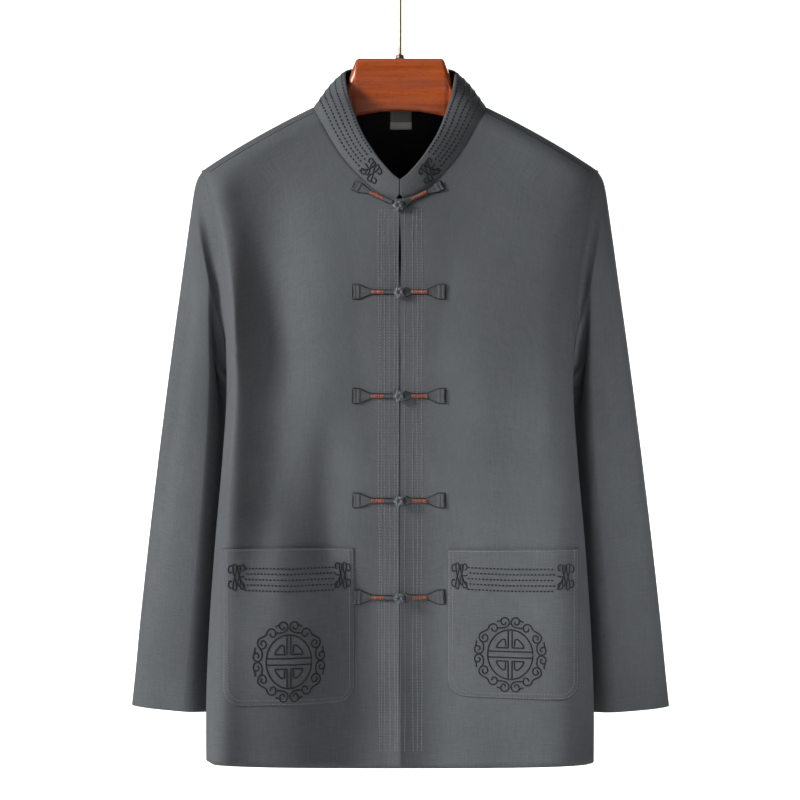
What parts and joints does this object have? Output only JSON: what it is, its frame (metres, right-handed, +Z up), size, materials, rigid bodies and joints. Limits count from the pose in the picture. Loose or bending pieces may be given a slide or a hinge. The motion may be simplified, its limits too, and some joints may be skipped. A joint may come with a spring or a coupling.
{
  "type": "chinese-style jacket on a wooden hanger",
  "caption": "Grey Tang-style jacket with a standing collar, frog fastenings, embroidered patch pockets and long sleeves, on a wooden hanger with a brass hook.",
  "frame": {"origin": "inner crown of the hanger's hook, where a rail carries it", "axes": "+Z up, -Y the jacket's front, +X towards the viewer's right when seen from the front"},
  "size_m": [0.618, 0.1927, 0.9296],
  "materials": {
    "suiting": "matt plain weave",
    "piping": "wound rust-red thread over a grey cord",
    "label_weave": "satin weave",
    "mahogany": "lacquered",
    "brass": "satin"
  },
  "bodies": {
    "root": {"back": "suiting", "collar": "suiting", "ferrule": "brass", "frog_1_cord_left": "piping", "frog_1_cord_right": "piping", "frog_1_knot": "suiting", "frog_1_wing_left": "suiting", "frog_1_wing_right": "suiting", "frog_2_cord_left": "piping", "frog_2_cord_right": "piping", "frog_2_knot": "suiting", "frog_2_wing_left": "suiting", "frog_2_wing_right": "suiting", "frog_3_cord_left": "piping", "frog_3_cord_right": "piping", "frog_3_knot": "suiting", "frog_3_wing_left": "suiting", "frog_3_wing_right": "suiting", "frog_4_cord_left": "piping", "frog_4_cord_right": "piping", "frog_4_knot": "suiting", "frog_4_wing_left": "suiting", "frog_4_wing_right": "suiting", "frog_5_cord_left": "piping", "frog_5_cord_right": "piping", "frog_5_knot": "suiting", "frog_5_wing_left": "suiting", "frog_5_wing_right": "suiting", "front_left": "suiting", "front_right": "suiting", "hanger_wood": "mahogany", "hook": "brass", "label": "label_weave", "pocket_left": "suiting", "pocket_right": "suiting", "sleeve_left": "suiting", "sleeve_right": "suiting"}
  },
  "joints": []
}
